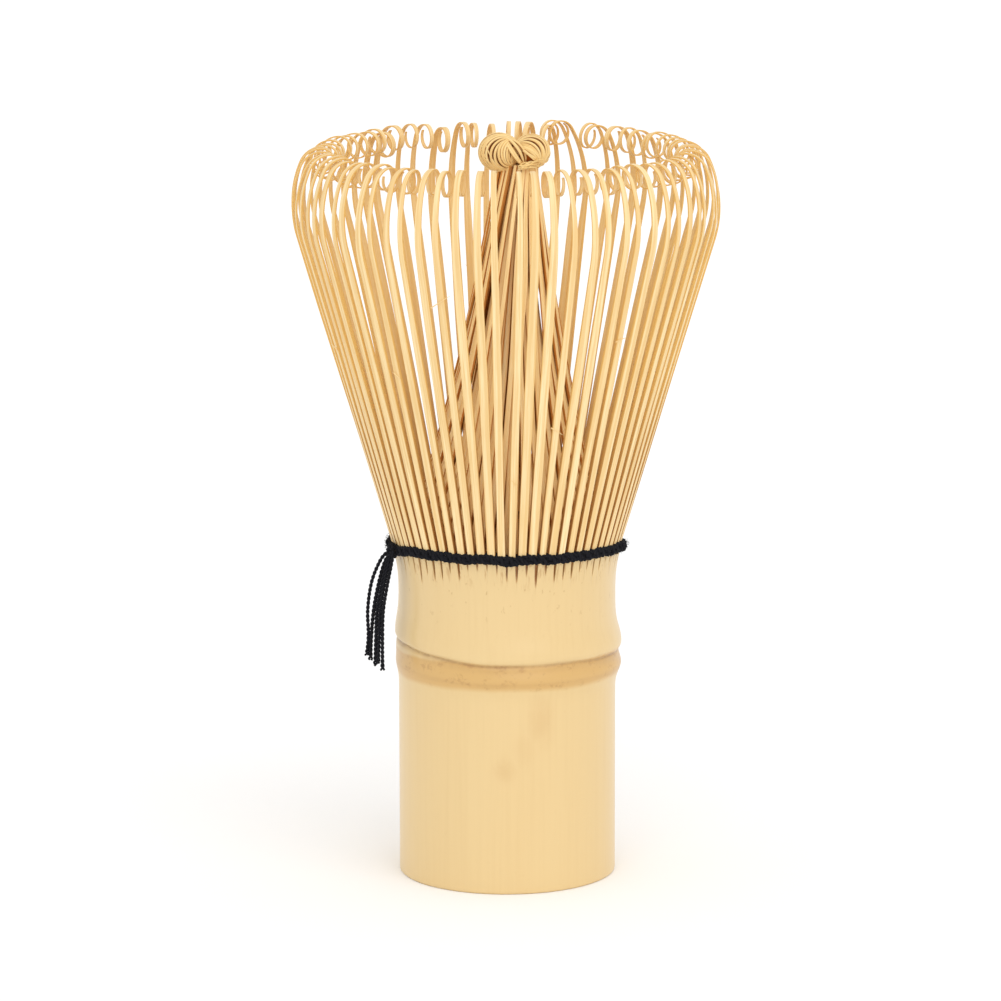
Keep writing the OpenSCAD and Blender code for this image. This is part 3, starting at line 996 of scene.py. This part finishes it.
def make_handle(skin, inside, end_grain):
    """The culm up to the collar, with its splits and its hollow."""
    rng = random.Random(31)
    tops = [rng.uniform(*SPLIT_START) for _ in range(TINES)]
    wide = [rng.uniform(*SPLIT_WIDTH) for _ in range(TINES)]
    for _ in range(LONG_SPLITS):
        tops[rng.randrange(TINES)] -= rng.uniform(0.5, 1.6)
    outside, side, shade_in_crease = [], [], []
    for z in handle_levels():
        places = wall_columns(z, tops, wide)
        outside.append([wall_point(z, a, depth) for a, depth in places])
        side.append([min(1, depth / SIDE_DEPTH) for a, depth in places])
        shade_in_crease.append([crease_painted_shade(z, a) for a, depth in places])
    outside = np.array(outside)
    walls = inner_wall(outside.shape[1])
    shape = Shape()
    add_lathe(shape, outside, slot=0, side=np.array(side), painted_shade=np.array(shade_in_crease))
    add_lathe(shape, np.concatenate([outside[-1:], walls[:1]]), slot=1)
    add_lathe(shape, walls, slot=1)
    add_lathe(shape, np.concatenate([walls[-1:], outside[:1]]), slot=2)
    made = shape.piece("whisk_handle", [skin, inside, end_grain], sharp=55)
    weld(made, 0.004)
    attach(made, "handle")
    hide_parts("handle_culm")


def add_lathe(shape, sections, slot, side=0, painted_shade=0):
    """Rings that go all the way round, with no caps."""
    around = np.linspace(0, UV_ROUND, sections.shape[1] + 1)
    lengths = path_lengths(sections[:, 0, :])
    shape.add_sweep(sections, lengths, around, side=side, painted_shade=painted_shade, slot=slot, caps=False)


def weld(piece, distance):
    """Joins vertices that lie at one place, so that the piece is closed."""
    mesh = bmesh.new()
    mesh.from_mesh(piece.data)
    bmesh.ops.remove_doubles(mesh, verts=mesh.verts, dist=distance * MM)
    mesh.to_mesh(piece.data)
    mesh.free()


# ---------------------------------------------------------------- thread

THREAD_FRONT_R, THREAD_BACK_R = 16.5, 15.05
STRAND_R = 0.4
TWINE_RISE = 0.48
TWINE_STEPS = 14
# Strands laid round the twined ones, which make the band full: (height, radius, distance from the axis).
FILLING = ((-0.45, 0.3, THREAD_FRONT_R - 0.06), (0.43, 0.3, THREAD_FRONT_R - 0.06),
           (0, 0.42, THREAD_FRONT_R - 0.25))
FIBRES_OFF_BAND = 420
KNOT_ANGLE = 200
# The knot's loops: (tilt in degrees, half length, outward, sideways and upward from the knot's place).
KNOT_LOOPS = ((20, 0.8, 0.0, -0.4, 0.1), (-35, 0.75, 0.2, 0.3, -0.1),
              (75, 0.7, 0.35, 0.0, -0.3), (110, 0.62, 0.1, 0.1, 0.0))


def yarn(shape, path, radius, lay, rng, frames=None, closed=False, plies=2, fray=0.0):
    """Plies twisted round a path, one turn in every lay millimetres."""
    normals, across = frames if frames is not None else path_frames(path, (0.2, 0.1, 1))
    along = path_lengths(path)
    turns = along / lay
    if closed:
        total = along[-1] + np.linalg.norm(path[0] - path[-1])
        turns = along / total * round(total / lay)
    ply_r = radius * 0.56
    for k in range(plies):
        a = 2 * math.pi * (turns + k / plies)
        open_up = 1 + fray * np.clip((along - along[-1] + 1.6) / 1.6, 0, 1) ** 2
        offset = (radius - ply_r) * open_up
        line = path + offset[:, None] * (normals * np.cos(a)[:, None] + across * np.sin(a)[:, None])
        add_tube(shape, line, ply_r * rng.uniform(0.95, 1.05), rng, sides=8, closed=closed)


def twined_path(phase):
    """Over one tine and behind the next, all the way round."""
    points = []
    for i in range(TINES * TWINE_STEPS):
        t = i / TWINE_STEPS
        wave = math.sin(math.pi * (t + phase))
        swing = max(-1, min(1, wave * 1.9))
        r = (THREAD_FRONT_R + THREAD_BACK_R) / 2 + swing * (THREAD_FRONT_R - THREAD_BACK_R) / 2
        degrees = PITCH * t
        z = band_height(degrees) + TWINE_RISE * math.cos(math.pi * (t + phase))
        points.append(polar(r, degrees, z))
    return np.array(points)


def add_fuzz(shape, rng, count):
    """Short cotton fibres that stand off the band."""
    for _ in range(count):
        degrees = rng.uniform(0, 360)
        start = polar(THREAD_FRONT_R + 0.3, degrees, band_height(degrees) + rng.uniform(-0.7, 0.7))
        out = polar(rng.uniform(0.1, 0.5), degrees)
        side = polar(rng.uniform(-0.5, 0.5), degrees + 90)
        up = np.array([0, 0, rng.uniform(-0.5, 0.5)])
        points = [start, start + out * 0.7 + side * 0.3, start + out + side + up]
        add_tube(shape, smooth_path(points, 6), np.linspace(0.022, 0.01, 6), rng, sides=4)


def knot_place(out, side, z):
    """A point given by its distance from the axis, sideways shift and height, at the thread's knot."""
    return polar(out, KNOT_ANGLE) + polar(side, KNOT_ANGLE + 90) + np.array([0, 0, z])


def make_thread(cotton):
    rng = random.Random(77)
    band = Shape()
    for phase in (0, 1):
        path = twined_path(phase)
        yarn(band, path, STRAND_R, 1.7, rng, frames=closed_frames(path), closed=True)
    for shift, radius, r in FILLING:
        path = []
        for a in np.arange(0, 360, 0.6):
            ripple = 0.08 * math.sin(math.radians(a * TINES / 2 + shift * 200))
            path.append(polar(r, a, band_height(a) + shift + ripple))
        path = np.array(path)
        yarn(band, path, radius, 1.5, rng, frames=closed_frames(path), closed=True)
    add_fuzz(band, rng, FIBRES_OFF_BAND)
    made = band.piece("whisk_thread_band", [cotton])
    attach(made, "handle")
    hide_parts("thread_strand_a", "thread_strand_b")
    make_thread_knot(cotton, rng)
    make_thread_ends(cotton, rng)


def make_thread_knot(cotton, rng):
    shape = Shape()
    r = THREAD_FRONT_R + 0.35
    z = band_height(KNOT_ANGLE)
    for tilt, size, out, side, up in KNOT_LOOPS:
        cosine, sine = math.cos(math.radians(tilt)), math.sin(math.radians(tilt))
        loop = []
        for a in np.linspace(0, 2 * math.pi, 40, endpoint=False):
            u, v = size * math.cos(a), size * 0.72 * math.sin(a)
            away = r + out + 0.25 * math.sin(2 * a)
            loop.append(knot_place(away, side + u * cosine - v * sine, z + up + u * sine + v * cosine))
        loop = np.array(loop)
        yarn(shape, loop, STRAND_R, 1.5, rng, frames=closed_frames(loop, polar(1, KNOT_ANGLE)), closed=True)
    stub = smooth_path([knot_place(r + 0.2, -0.5, z + 0.3), knot_place(r + 0.5, -0.7, z + 0.9),
                        knot_place(r + 0.5, -1.0, z + 1.3)], 12)
    yarn(shape, stub, 0.28, 1.4, rng, fray=0.8)
    made = shape.piece("whisk_thread_knot", [cotton])
    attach(made, "handle")
    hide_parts("thread_knot")


# The loose ends' routes, one end to a block: distances from the axis, sideways shifts, and heights.
THREAD_ENDS = [
    ((17.2, 18.3, 19.5, 20.1, 20.1, 20.3),
     (-0.8, -1.2, -1.5, -1.6, -1.5, -1.5),
     (46.9, 45.6, 42.5, 38.6, 35.0, 32.1)),
    ((17.2, 18.0, 18.9, 19.5, 19.8, 19.9),
     (-0.3, -0.5, -0.6, -0.8, -1.0, -1.0),
     (46.8, 45.2, 42.0, 38.6, 34.8, 31.5)),
    ((17.2, 17.9, 18.6, 19.2, 19.5, 19.6),
     (0.1, 0.1, 0.0, -0.2, 0.1, 0.0),
     (46.8, 45.2, 42.0, 38.6, 34.8, 30.9)),
    ((17.2, 17.8, 18.4, 18.9, 19.2, 19.4),
     (0.4, 0.6, 0.4, 0.3, 0.6, 0.7),
     (46.8, 45.0, 42.0, 38.6, 34.8, 31.3)),
    ((17.1, 17.6, 18.1, 18.6, 18.9, 19.0),
     (0.8, 1.1, 0.8, 0.6, 1.2, 1.5),
     (46.8, 45.0, 42.0, 38.6, 34.5, 30.5)),
]
END_R = 0.29


def make_thread_ends(cotton, rng):
    for number, route in enumerate(THREAD_ENDS, 1):
        shape = Shape()
        points = [knot_place(out, side + rng.gauss(0, 0.06), z) for out, side, z in zip(*route)]
        yarn(shape, smooth_path(points, 110), END_R, 1.25, rng, fray=0.8)
        made = shape.piece(f"whisk_thread_end_{number}", [cotton])
        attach(made, "handle")
        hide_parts(f"thread_end_{number}")


# ---------------------------------------------------------------- the scene

make_camera()
make_studio()

# The third colour of each is the darker cut side, partly the fibre's own colour and partly painted shade.
OUTER = split_bamboo("outer_tine_bamboo", rgb(253, 230, 180), rgb(231, 193, 129), rgb(231, 185, 102), 0.22)
INNER = split_bamboo("inner_tine_bamboo", rgb(254, 231, 178), rgb(240, 201, 134), rgb(208, 128, 42), 0.08)
# The knot's dark side colour is painted shade at the strips' edges.
KNOT = split_bamboo("knot_bamboo", rgb(254, 230, 170), rgb(238, 198, 126), rgb(154, 84, 26), 0.25)
SKIN = skin_material()
INSIDE = plain_bamboo("bamboo_inside", rgb(232, 196, 138), rgb(206, 160, 98), (500, 500, 60))
END_GRAIN = plain_bamboo("bamboo_end_grain", rgb(236, 204, 148), rgb(190, 140, 84), (2200, 2200, 300))
# Dark core of the knot: painted shade seen between the strips.
SHADE = plain_bamboo("knot_shade", rgb(166, 90, 32), rgb(132, 66, 20), (900, 900, 900))
COTTON = cotton_material()

make_thread(COTTON)
make_handle(SKIN, INSIDE, END_GRAIN)
make_outer_tines(OUTER)
make_inner_tines(INNER)
make_tip_knot(KNOT, SHADE)
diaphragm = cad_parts["joint_diaphragm"]
diaphragm.data.materials.clear()
diaphragm.data.materials.append(INSIDE)
